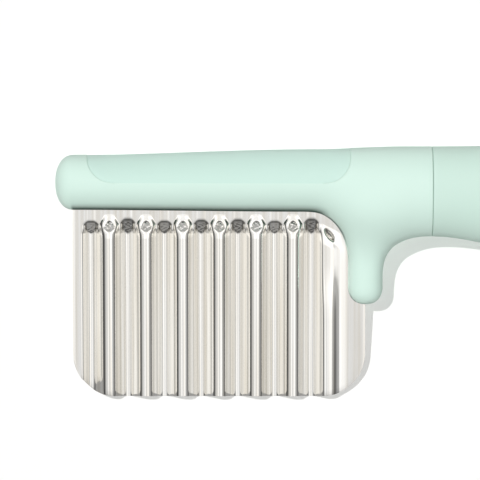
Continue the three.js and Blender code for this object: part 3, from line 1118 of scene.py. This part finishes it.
    def build(self) -> BMesh:
        """Builds the sheet as a front and a back that are joined all round.

        Returns:
            The closed mesh.
        """
        count = round((self.end_x - self.start_x) / self.column_mm)
        columns = np.linspace(self.start_x, self.end_x, count)
        above = [*self.edge_rows, self.grind, self.corner / 2, self.corner, self.corner + self.corner_blend]
        ends_from = self.valley.end_y - self.last_drop - self.ends_margin
        closed_ends = np.arange(ends_from, self.valley.end_y + self.ends_reach, self.row_mm)
        plain = np.linspace(self.plain_from, ends_from - self.plain_gap, self.plain_rows)
        upper = [self.hidden_row, self.top_y]
        rows = np.concatenate([self.edge_y + np.array(above), plain, closed_ends, upper])
        mesh = rolled_grid(columns, rows, lambda x, y: self.on_sheet(x, y, True))
        back = rolled_grid(columns, rows, lambda x, y: self.on_sheet(x, y, False))
        bmesh.ops.reverse_faces(back, faces=back.faces[:])
        data = bpy.data.meshes.new("blade_back")
        back.to_mesh(data)
        back.free()
        mesh.from_mesh(data)
        bpy.data.meshes.remove(data)
        rims = [edge for edge in mesh.edges if edge.is_boundary]
        bmesh.ops.bridge_loops(mesh, edges=rims)
        bmesh.ops.recalc_face_normals(mesh, faces=mesh.faces[:])
        return mesh

    def dress(self) -> None:
        """Builds the blade and gives it its steel."""
        finish_piece(self.build(), "fluted_blade", STEEL, "blade", sharp=50.0)


@dataclass
class Head:
    """The hard head (spine, shoulder and claw) and the soft pad in its spine."""

    form: ToolForm = field(default_factory=ToolForm)
    # The mesh's lines along the skin and its rings, stretch by stretch.
    lines: int = 96
    tip_rings: int = 12
    ring_counts: tuple[int, ...] = (5, 16, 22, 16, 20, 6)
    seam_rings_from: float = -6.0
    seam_rim: float = 0.2
    # The pad, which lies on the upper half of the way round.
    pad_left: float = -103.4
    pad_right: float = -24.6
    pad_shares: Span = (0.25, 0.75)
    pad_edge: float = 3.7
    pad_corner: float = 8.0
    pad_reach: float = 5.0
    pad_power: float = 1.75
    pad_blend: float = 9.0
    pad_depth: float = 1.2
    pad_filling: float = 0.8
    pad_sink: float = 0.1
    pad_lip: float = 0.3
    border_fade: float = 0.2
    # The claw: the patch that it grows from, and the zones that are smoothed and settled.
    claw_patch: Span = (0.46, 0.42)
    claw_facing: float = -0.2
    claw_tip: float = 1.5
    claw_cuts: int = 22
    claw_soft_x: Span = (-46.0, -2.0)
    claw_soft_top: float = 1.5
    claw_settled_from: float = -60.0
    claw_rounds: int = 12
    claw_smooths: int = 4
    # The painted shade at the blade and its painted dark line, by how far a normal points out, down, and
    # where the point lies.
    blade_from: float = Blade.start_x
    shade_normals: tuple[float, ...] = (0.0, 0.34, 0.42, 0.5, 0.58, 0.64, 0.7, 0.8)
    shade_levels: tuple[float, ...] = (0.8, 0.9, 0.96, 0.78, 0.55, 0.32, 0.18, 0.0)
    shade_down: Span = (0.8, 0.99)
    shade_y: Span = (-16.0, -12.0)
    shade_fade: float = 5.0
    shade_line_normals: tuple[float, ...] = (0.05, 0.15, 0.3, 0.42)
    shade_line_levels: tuple[float, ...] = (0.0, 0.8, 0.8, 0.0)
    shade_line_down: Span = (0.2, 0.5)

    def border_angle(self, x: np.ndarray, power: np.ndarray) -> np.ndarray:
        """Gives where the pad's lower border lies.

        Args:
            x: The rings' places.
            power: How square each section is.

        Returns:
            The angles round the section, from the top.
        """
        rise, half_height, _ = self.form.section(x)
        share = np.clip((self.pad_edge - rise) / half_height, 0, 1)
        return np.arccos(share ** (power / 2))

    def follow_pad(self, x: np.ndarray, height: np.ndarray, below: np.ndarray) -> np.ndarray:
        """Shifts points along X so that one ring at each end of the pad follows its rounded outline.

        Args:
            x: The rings' places.
            height: The points' heights.
            below: How far under the border they lie, from 0 to 1.

        Returns:
            The shifted places.
        """
        corner, reach = self.pad_corner, self.pad_reach
        drop = np.clip(self.pad_edge + corner - height, 0, corner)
        inset = (corner - np.sqrt(np.maximum(0, corner**2 - drop**2))) * (1 - below) ** 2
        moved = x.copy()
        for end, side in ((self.pad_left, 1.0), (self.pad_right, -1.0)):
            outward = side * (end - x)
            outside = np.clip(1 - outward / reach, 0, 1)
            inside = np.clip(1 + outward / (corner + reach), 0, 1)
            moved += side * inset * np.where(outward > 0, outside, inside)
        return moved

    def skin_point(self, x: np.ndarray, share: np.ndarray, on_pad: bool) -> np.ndarray:
        """Gives points of the spine or of the pad, with lines along the pad's border.

        Args:
            x: The rings' places.
            share: The share of the way round, from the underside over the top back to the underside.
            on_pad: Whether the points lie on the pad, whose flanks are flatter away from its ends.

        Returns:
            The points, one in each row.
        """
        side = np.sign(share - 0.5)
        turn = np.abs(share - 0.5) * 2
        inside = np.clip(np.minimum(x - self.pad_left, self.pad_right - x) / self.pad_blend, 0, 1)
        flatter = eased(inside) if on_pad else 0 * x
        plain = np.full_like(x, self.form.power)
        power = plain + (self.pad_power - plain) * flatter

        def angles(places: np.ndarray, square: np.ndarray) -> np.ndarray:
            """Gives the angles round the section, with the pad's border half-way to the underside."""
            border = self.border_angle(places, square)
            return np.where(turn <= 0.5, border * turn * 2, border + (np.pi - border) * (turn * 2 - 1))

        height = self.form.oval_point(x, angles(x, plain), plain)[:, 1]
        below = np.clip((turn - 0.5) / self.border_fade, 0, 1)
        moved = self.follow_pad(x, height, below)
        return self.form.oval_point(moved, side * angles(moved, power), power)

    def rings(self) -> np.ndarray:
        """Gives the places of the head's rings: close together at the tip, the pad's ends and the claw.

        Returns:
            The places along X, from the tip to the seam.
        """
        form, corner = self.form, self.pad_corner + self.pad_reach
        turn = np.linspace(0, np.pi / 2, self.tip_rings)
        dome = form.tip_x + form.tip_round * (1 - np.cos(turn))
        stops = [
            dome[-1],
            self.pad_left,
            self.pad_left + corner,
            self.pad_right - corner,
            self.pad_right,
            self.seam_rings_from,
            -form.seam_gap / 2,
        ]
        return np.concatenate([dome[:-1], ring_places(stops, self.ring_counts), stops[-1:]])

    def draw_claw(self, mesh: BMesh) -> None:
        """Draws the claw out of the underside of the shoulder and lets it flow into it.

        Args:
            mesh: The head's skin.
        """
        form = self.form
        reach_x, reach_z = form.claw_width * self.claw_patch[0], form.claw_thickness * self.claw_patch[1]

        def under_claw(face: BMFace) -> bool:
            """Tells whether a face lies where the claw grows.

            Args:
                face: A face of the skin.

            Returns:
                Whether it does.
            """
            middle = face.calc_center_median()
            near = abs(middle.x - form.claw_x) < reach_x and abs(middle.z) < reach_z
            return near and middle.y < 0 and face.normal.y < self.claw_facing

        def is_soft(place: Vector) -> bool:
            """Tells whether a place is smoothed, so that the claw flows into the shoulder."""
            return self.claw_soft_x[0] < place.x < self.claw_soft_x[1] and place.y < self.claw_soft_top

        mesh.normal_update()
        patch = [face for face in mesh.faces if under_claw(face)]
        moved = set(draw_out(mesh, patch))
        top = max(vert.co.y for vert in moved)
        bmesh.ops.translate(mesh, verts=list(moved), vec=(0, -form.claw_reach + self.claw_tip - top, 0))
        sides = [edge for edge in mesh.edges if sum(vert in moved for vert in edge.verts) == 1]
        bmesh.ops.subdivide_edges(mesh, edges=sides, cuts=self.claw_cuts, use_grid_fill=True)
        soft = [vert for vert in mesh.verts if is_soft(vert.co)]
        for _ in range(self.claw_rounds):
            for _ in range(self.claw_smooths):
                smooth(mesh, soft)
            settle_mesh(mesh, form.head, lambda place: place.x > self.claw_settled_from)

    def sink_pad_seat(self, mesh: BMesh) -> None:
        """Sinks the pad's seat into the spine and rounds the lip around it.

        Args:
            mesh: The head's skin.
        """
        rings = self.rings()
        first, last = nearest(rings, self.pad_left), nearest(rings, self.pad_right)
        ring, line = mesh.faces.layers.int["ring"], mesh.faces.layers.int["line"]
        low, high = (share * self.lines for share in self.pad_shares)

        def in_seat(face: BMFace) -> bool:
            """Tells whether a face lies in the pad's seat."""
            return first <= face[ring] < last and low <= face[line] < high

        seat = [face for face in mesh.faces if in_seat(face)]
        inside = set(seat)
        lip = [edge for edge in mesh.edges if sum(face in inside for face in edge.link_faces) == 1]
        self.push_in(draw_out(mesh, seat), self.pad_depth)
        round_edges(mesh, lip, self.pad_lip)

    def push_in(self, verts: list[BMVert], depth: float) -> None:
        """Moves vertices straight towards the spine's middle line.

        Args:
            verts: The vertices.
            depth: How far they move.
        """
        for vert in verts:
            rise = float(self.form.section(np.array([vert.co.x]))[0][0])
            vert.co += Vector((0, rise - vert.co.y, -vert.co.z)).normalized() * depth

    def paint_joint_shade(self, mesh: BMesh) -> None:
        """Paints shade into the corner where the blade goes into the head: a deep band under the spine and a
        thin dark line along its limb, set from the normals.

        Args:
            mesh: The head's skin.
        """
        layer = mesh.verts.layers.float.new(PAINTED_SHADE)
        claw_x = self.form.claw_x
        mesh.normal_update()
        for vert in mesh.verts:
            if vert.co.x < self.blade_from or vert.co.y > 0:
                continue
            out = abs(vert.normal.z)
            down = -vert.normal.y / max(math.hypot(vert.normal.x, vert.normal.y), TINY)
            deep = np.interp(out, self.shade_normals, self.shade_levels)
            deep = deep * np.interp(down, self.shade_down, (0, 1))
            line = np.interp(out, self.shade_line_normals, self.shade_line_levels)
            line = line * np.interp(down, self.shade_line_down, (0, 1))
            under_spine = np.interp(vert.co.y, self.shade_y, (0, 1))
            over_blade = np.interp(vert.co.x, (claw_x - self.shade_fade, claw_x), (1, 0))
            # Painted shade: the deep band under the spine or the thin dark line, whichever is darker, faded
            # out at the claw.
            vert[layer] = float(max(deep * under_spine, line) * over_blade)

    def build_shell(self) -> BMesh:
        """Builds the head's skin.

        Returns:
            The closed mesh, with the shade at the blade painted on it.
        """
        shares = np.linspace(0, 1, self.lines + 1)
        mesh = rolled_grid(self.rings(), shares, lambda x, share: self.skin_point(x, share, False))
        close_roll(mesh)
        self.draw_claw(mesh)
        self.sink_pad_seat(mesh)
        cap_open_ends(mesh, self.seam_rim)
        bmesh.ops.recalc_face_normals(mesh, faces=mesh.faces[:])
        self.paint_joint_shade(mesh)
        return mesh

    def build_pad(self) -> BMesh:
        """Builds the press pad, a saddle with flatter flanks than the spine.

        Returns:
            The closed mesh.
        """
        rings = self.rings()
        rings = rings[(rings >= self.pad_left - TINY) & (rings <= self.pad_right + TINY)]
        shares = np.linspace(*self.pad_shares, self.lines // 2 + 1)
        mesh = rolled_grid(rings, shares, lambda x, share: self.skin_point(x, share, True))
        self.push_in(mesh.verts[:], self.pad_sink)
        under = bmesh.ops.duplicate(mesh, geom=mesh.faces[:])["geom"]
        under = [item for item in under if isinstance(item, BMVert)]
        self.push_in(under, self.pad_depth * self.pad_filling)
        bmesh.ops.bridge_loops(mesh, edges=[edge for edge in mesh.edges if edge.is_boundary])
        bmesh.ops.recalc_face_normals(mesh, faces=mesh.faces[:])
        return mesh

    def dress(self) -> None:
        """Builds the shell and the pad and gives them their plastics."""
        finish_piece(self.build_shell(), "spine_and_claw", ABS_SHELL, "head_shell")
        finish_piece(self.build_pad(), "spine_press_pad", TPE_PAD, "press_pad")


@dataclass
class Grip:
    """The soft grip with its hang hole."""

    form: ToolForm = field(default_factory=ToolForm)
    lines: int = 96
    ring_counts: tuple[int, ...] = (36, 7, 17)
    butt_rings: int = 14
    butt_crowding: float = 1.6
    seam_rim: float = 0.2
    hole_lines: int = 6
    hole_margin: float = 6.0
    wall_cuts: int = 14
    smooth_rounds: int = 3
    smooth_reach: float = 7.0
    settle_reach: float = 9.0

    def rings(self) -> np.ndarray:
        """Gives the places of the grip's rings: close together round the hole and at the butt.

        Returns:
            The places along X, from the seam to the butt.
        """
        form = self.form
        end = form.grip_length - form.butt_flat
        hole = form.hole_length / 2
        before, after = form.hole_x - hole, form.hole_x + hole
        stops = [form.seam_gap / 2, before - self.hole_margin, before, after]
        butt = end - (end - after) * (1 - np.linspace(0, 1, self.butt_rings)) ** self.butt_crowding
        return np.concatenate([ring_places(stops, self.ring_counts), butt])

    def pierce(self, mesh: BMesh) -> None:
        """Opens the hang hole through the grip and rounds its rim.

        Args:
            mesh: The grip's skin.
        """
        form, rings = self.form, self.rings()
        hole = form.hole_length / 2
        first, last = nearest(rings, form.hole_x - hole), nearest(rings, form.hole_x + hole)
        ring, line = mesh.faces.layers.int["ring"], mesh.faces.layers.int["line"]
        quarter = self.lines // 4

        def over_hole(face: BMFace) -> bool:
            """Tells whether a face lies over the hole, in front or at the back."""
            near = min(abs(face[line] + 0.5 - quarter), abs(face[line] + 0.5 - 3 * quarter))
            return first <= face[ring] < last and near < self.hole_lines

        def near_hole(place: Vector, reach: float) -> bool:
            """Tells whether a place is within reach of the hole."""
            return abs(place.x - form.hole_x) < hole + reach

        opened = [face for face in mesh.faces if over_hole(face)]
        bmesh.ops.delete(mesh, geom=opened, context="FACES")
        low, high = form.seam_gap + NEAR_SEAM, form.grip_length - 2 * form.butt_flat
        rims = [edge for edge in mesh.edges if edge.is_boundary and low < edge.verts[0].co.x < high]
        walls = bmesh.ops.bridge_loops(mesh, edges=rims)["edges"]
        bmesh.ops.subdivide_edges(mesh, edges=walls, cuts=self.wall_cuts, use_grid_fill=True)
        around = [vert for vert in mesh.verts if near_hole(vert.co, self.smooth_reach)]
        settle_mesh(mesh, form.grip, lambda place: near_hole(place, self.settle_reach))
        for _ in range(self.smooth_rounds):
            smooth(mesh, around)
            settle_mesh(mesh, form.grip, lambda place: near_hole(place, self.settle_reach))

    def skin_point(self, x: np.ndarray, share: np.ndarray) -> np.ndarray:
        """Gives points of the grip's skin at shares of the way round."""
        return self.form.oval_point(x, (share - 0.5) * 2 * np.pi, np.full_like(x, self.form.power))

    def build(self) -> BMesh:
        """Builds the grip's skin.

        Returns:
            The closed mesh.
        """
        mesh = rolled_grid(self.rings(), np.linspace(0, 1, self.lines + 1), self.skin_point)
        close_roll(mesh)
        self.pierce(mesh)
        cap_open_ends(mesh, self.seam_rim)
        bmesh.ops.recalc_face_normals(mesh, faces=mesh.faces[:])
        return mesh

    def dress(self) -> None:
        """Builds the grip and gives it its soft rubber."""
        finish_piece(self.build(), "soft_grip", TPE_GRIP, "grip_sleeve")


@dataclass
class InnerFrame:
    """The hidden carrier and core, which keep their CAD shapes."""

    nodes: tuple[str, ...] = ("blade_carrier", "handle_core")

    def dress(self) -> None:
        """Gives the hidden pieces their plastic."""
        material = PP_INNER.material()
        for name in self.nodes:
            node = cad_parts[name]
            node.data.materials.clear()
            node.data.materials.append(material)
            log.info("%s: CAD shape kept", name)


# Studio


@dataclass(frozen=True)
class Lamp:
    """A far lamp: its strength, the way its light goes, the angle in degrees that it fills, its shadow."""

    name: str
    strength: float
    travel: Triple
    width: float
    shadow: bool
    distance: float = 1.2

    def build(self) -> None:
        """Makes the lamp, which the steel doesn't mirror."""
        data = bpy.data.lights.new(self.name, "SUN")
        data.energy = self.strength
        data.angle = math.radians(self.width)
        data.use_shadow = self.shadow
        lamp = bpy.data.objects.new(self.name, data)
        lamp.rotation_euler = Vector(self.travel).to_track_quat("-Z", "Y").to_euler()
        lamp.location = Vector(self.travel) * -self.distance
        lamp.visible_glossy = False
        bpy.context.scene.collection.objects.link(lamp)


class Course(Enum):
    """What a ramp in the sky follows."""

    RIGHT = "to the right"
    BACK = "to the back"
    UP = "upwards"
    ASIDE = "to either side"
    RAISED = "upwards, leaning to the right"
    OFF_FLAG = "away from the flag"
    NEAR_KEY = "towards the key lamp"
    SCATTERED = "how often a ray was scattered"


@dataclass(frozen=True)
class Ramp:
    """A level that runs from one value to another while its course crosses a span."""

    course: Course
    span: Span
    levels: Span


# The sky is bright overhead, dark in front, and brighter beside the middle line than on it. Below the
# horizon it stands in for the table, and low in front it is grey. The key's lobe is the light that the
# steel throws onto the table.
SKY_RAMPS = {
    "overhead": Ramp(Course.RAISED, (0.0, 0.75), (0.0, 1.0)),
    "not_in_front": Ramp(Course.BACK, (-0.75, -0.2), (0.0, 1.0)),
    "beside": Ramp(Course.ASIDE, (0.04, 0.25), (1.0, 1.42)),
    "below": Ramp(Course.UP, (-0.1, 0.0), (1.0, 0.0)),
    "front_rim": Ramp(Course.BACK, (-0.99, -0.92), (0.3, 0.0)),
    "key_lobe": Ramp(Course.NEAR_KEY, (0.8, 1.0), (0.0, 10.0)),
    "unscattered": Ramp(Course.SCATTERED, (0.0, 1.0), (1.0, 0.0)),
}
# Bands that only the steel's reflections see: they dim what the flanks and the flutes' ends mirror.
# The flag is a stripe on the left that greys the flanks facing right.
DARK_BANDS = {
    "right_band": Ramp(Course.RIGHT, (0.55, 0.66), (1.0, 0.36)),
    "left_band": Ramp(Course.RIGHT, (-0.95, -0.6), (0.36, 1.0)),
    "flag": Ramp(Course.OFF_FLAG, (0.1, 0.14), (0.66, 1.0)),
    "back_band": Ramp(Course.BACK, (0.42, 0.56), (1.0, 0.42)),
    "right_rim": Ramp(Course.RIGHT, (0.84, 0.98), (1.0, 0.5)),
}


@dataclass
class Studio:
    """A white table, a soft sky with dark bands, two lamps and a camera straight above."""

    table_half: float = 3.0
    table_cells: int = 8
    table_diffuse: float = 0.9
    table_warmth: float = 0.985
    table_glow: float = 0.02
    key: Lamp = Lamp("key", strength=1.66, travel=(0.38, -0.24, -1.0), width=1.5, shadow=True)
    fill: Lamp = Lamp("fill", strength=1.36, travel=(0.0, 0.12, -1.0), width=40.0, shadow=False)
    sky_fill: float = 0.26
    sky_gloss: float = 1.3
    sky_dark: float = 0.1
    sky_lean: float = 0.2
    sky_below: float = 0.4
    flag_place: float = -0.52
    camera_middle_mm: Span = (-56.85, 9.554)
    camera_height_mm: float = 1512.5
    frame_mm: float = 144.0
    aim_height_mm: float = 12.5
    sensor_mm: float = 36.0
    sight_m: float = 50.0

    def table(self) -> None:
        """Makes the table, whose diffuse part takes the shadow.

        Only the camera sees its faint glow. The steel doesn't mirror it but a grey in the sky.
        """
        mesh = bmesh.new()
        cells = self.table_cells
        bmesh.ops.create_grid(mesh, x_segments=cells, y_segments=cells, size=self.table_half)
        data = bpy.data.meshes.new("table")
        mesh.to_mesh(data)
        mesh.free()
        material, tree = new_tree("white_table")
        seen = add_node(tree, "ShaderNodeLightPath", {}, {}).outputs["Is Camera Ray"]
        glow = add_node(tree, "ShaderNodeMath", {"operation": "MULTIPLY"}, {0: seen, 1: self.table_glow})
        tone = self.table_diffuse
        colour = (tone, tone, tone * self.table_warmth, 1)
        diffuse = add_node(tree, "ShaderNodeBsdfDiffuse", {}, {"Color": colour})
        emission = add_node(tree, "ShaderNodeEmission", {}, {"Strength": glow.outputs["Value"]})
        both = {0: diffuse.outputs["BSDF"], 1: emission.outputs["Emission"]}
        total = add_node(tree, "ShaderNodeAddShader", {}, both)
        add_node(tree, "ShaderNodeOutputMaterial", {}, {"Surface": total.outputs["Shader"]})
        data.materials.append(material)
        table = bpy.data.objects.new("table", data)
        table.visible_glossy = False
        bpy.context.scene.collection.objects.link(table)

    def courses(self, tree: NodeTree, path: Node) -> dict[Course, NodeSocket]:
        """Measures what the sky's ramps follow.

        Args:
            tree: The world's node tree.
            path: The node that tells how a ray came.

        Returns:
            The output for each course.
        """
        direction = add_node(tree, "ShaderNodeTexCoord", {}, {}).outputs["Generated"]
        part = add_node(tree, "ShaderNodeSeparateXYZ", {}, {"Vector": direction}).outputs
        x, y, z = part["X"], part["Y"], part["Z"]
        lean = {0: x, 1: self.sky_lean, 2: z}
        raised = add_node(tree, "ShaderNodeMath", {"operation": "MULTIPLY_ADD"}, lean)
        unsigned = {"operation": "ABSOLUTE"}
        aside = add_node(tree, "ShaderNodeMath", unsigned, {0: x})
        past_flag = add_node(tree, "ShaderNodeMath", {"operation": "SUBTRACT"}, {0: x, 1: self.flag_place})
        off_flag = add_node(tree, "ShaderNodeMath", unsigned, {0: past_flag.outputs["Value"]})
        to_key = {0: direction, 1: (-Vector(self.key.travel)).normalized()}
        near_key = add_node(tree, "ShaderNodeVectorMath", {"operation": "DOT_PRODUCT"}, to_key)
        return {
            Course.RIGHT: x,
            Course.BACK: y,
            Course.UP: z,
            Course.ASIDE: aside.outputs["Value"],
            Course.RAISED: raised.outputs["Value"],
            Course.OFF_FLAG: off_flag.outputs["Value"],
            Course.NEAR_KEY: near_key.outputs["Value"],
            Course.SCATTERED: path.outputs["Diffuse Depth"],
        }

    def sky(self) -> None:
        """Makes the world: banded in the steel's mirror, plain where it lights, and white to the camera."""
        world = bpy.data.worlds.new("studio_sky")
        world.use_nodes = True
        tree = world.node_tree
        tree.nodes.clear()
        path = add_node(tree, "ShaderNodeLightPath", {}, {})
        courses = self.courses(tree, path)
        light = {"glossy": path.outputs["Is Glossy Ray"]}
        sockets = ("From Min", "From Max", "To Min", "To Max")
        for name, ramp in (SKY_RAMPS | DARK_BANDS).items():
            ends = dict(zip(sockets, (*ramp.span, *ramp.levels)))
            follow = {"Value": courses[ramp.course], **ends}
            light[name] = add_node(tree, "ShaderNodeMapRange", {}, follow).outputs["Result"]
        # Each step joins earlier lights or plain numbers: "fill" lights the pieces and the table, and
        # "mirror" is what a glossy ray sees that no dull surface has scattered.
        steps = (
            ("open", "MULTIPLY", ("overhead", "not_in_front")),
            ("soft", "MULTIPLY_ADD", ("open", 1 - self.sky_dark, self.sky_dark)),
            ("soft", "MULTIPLY", ("soft", "beside")),
            ("thrown", "MULTIPLY", ("key_lobe", "glossy")),
            ("fill", "MULTIPLY_ADD", ("soft", self.sky_fill, "thrown")),
            ("fill", "MULTIPLY_ADD", ("below", self.table_diffuse, "fill")),
            ("low", "MULTIPLY", ("below", self.sky_below)),
            ("low", "MAXIMUM", ("front_rim", "low")),
            ("mirror", "MULTIPLY", ("soft", self.sky_gloss)),
            *(("mirror", "MULTIPLY", ("mirror", band)) for band in DARK_BANDS),
            ("mirror", "ADD", ("mirror", "low")),
            ("mirrored", "MULTIPLY", ("glossy", "unscattered")),
        )
        for name, operation, terms in steps:
            values = {number: light.get(term, term) for number, term in enumerate(terms)}
            light[name] = add_node(tree, "ShaderNodeMath", {"operation": operation}, values).outputs["Value"]
        mixed = {"Factor": light["mirrored"], "A": light["fill"], "B": light["mirror"]}
        strength = add_node(tree, "ShaderNodeMix", {"data_type": "FLOAT"}, mixed).outputs["Result"]
        studio = add_node(tree, "ShaderNodeBackground", {}, {"Strength": strength}).outputs["Background"]
        white = add_node(tree, "ShaderNodeBackground", {}, {"Strength": 1.0}).outputs["Background"]
        seen = {0: path.outputs["Is Camera Ray"], 1: studio, 2: white}
        shown = add_node(tree, "ShaderNodeMixShader", {}, seen)
        add_node(tree, "ShaderNodeOutputWorld", {}, {"Surface": shown.outputs["Shader"]})
        bpy.context.scene.world = world

    def camera(self) -> None:
        """Makes the camera, far above the table with a long lens."""
        lens = bpy.data.cameras.new("camera")
        lens.sensor_width = self.sensor_mm
        lens.lens = self.sensor_mm * (self.camera_height_mm - self.aim_height_mm) / self.frame_mm
        lens.clip_end = self.sight_m
        camera = bpy.data.objects.new("camera", lens)
        x, y = self.camera_middle_mm
        camera.location = (x * MM, y * MM, self.camera_height_mm * MM)
        bpy.context.scene.collection.objects.link(camera)
        bpy.context.scene.camera = camera

    def build(self) -> None:
        """Builds the whole studio."""
        self.table()
        self.sky()
        self.key.build()
        self.fill.build()
        self.camera()
        bpy.context.scene.view_settings.view_transform = "Standard"
        log.info("studio: table, sky, two lamps and camera")


def main() -> None:
    """Builds every piece and the studio."""
    logging.basicConfig(level=logging.INFO, format="%(name)s %(message)s")
    Blade().dress()
    Head().dress()
    Grip().dress()
    InnerFrame().dress()
    Studio().build()


if __name__ == "__main__":
    main()
